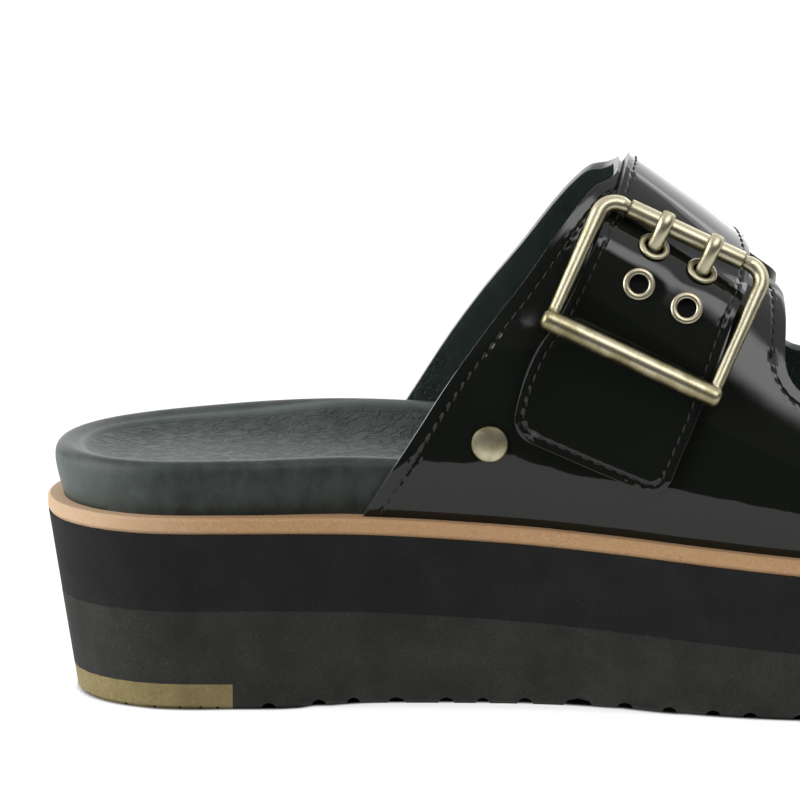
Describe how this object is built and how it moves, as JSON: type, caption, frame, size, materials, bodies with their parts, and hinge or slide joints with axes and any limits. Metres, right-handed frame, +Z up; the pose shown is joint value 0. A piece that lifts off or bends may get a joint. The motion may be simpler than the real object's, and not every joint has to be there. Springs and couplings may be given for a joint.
{
  "type": "platform slide sandal",
  "caption": "Platform slide sandal: leather bands over the foot joined along the sides, buckled straps with rollers and eyelets, a dished footbed and a thick layered sole.",
  "frame": {"origin": "middle of the bounding box, on the floor under the sole", "axes": "+X from heel to toe, +Y to the inner (medial) side of this right shoe, +Z up"},
  "size_m": [0.263, 0.092, 0.1305],
  "materials": {
    "outsole_foam": "matte foam",
    "heel_rubber": "matte",
    "midsole_foam": "matte foam",
    "welt_board": "raw fibre board",
    "footbed_leather": "fine wrinkled grain",
    "patent_leather": "patent gloss",
    "antique_brass": "brushed antique"
  },
  "bodies": {
    "root": {"outsole": "outsole_foam", "heel_tip": "heel_rubber", "midsole": "midsole_foam", "welt": "welt_board", "footbed": "footbed_leather", "upper": "patent_leather", "strap_rear": "patent_leather", "strap_front": "patent_leather", "buckle_rear": "antique_brass", "buckle_front": "antique_brass", "roller_rear": "antique_brass", "roller_front": "antique_brass", "prong_rear_1": "antique_brass", "prong_rear_2": "antique_brass", "prong_front_1": "antique_brass", "prong_front_2": "antique_brass", "eyelet_rear_1": "antique_brass", "eyelet_rear_2": "antique_brass", "eyelet_rear_3": "antique_brass", "eyelet_rear_4": "antique_brass", "eyelet_front_1": "antique_brass", "eyelet_front_2": "antique_brass", "eyelet_front_3": "antique_brass", "eyelet_front_4": "antique_brass", "side_stud": "antique_brass"}
  },
  "joints": []
}
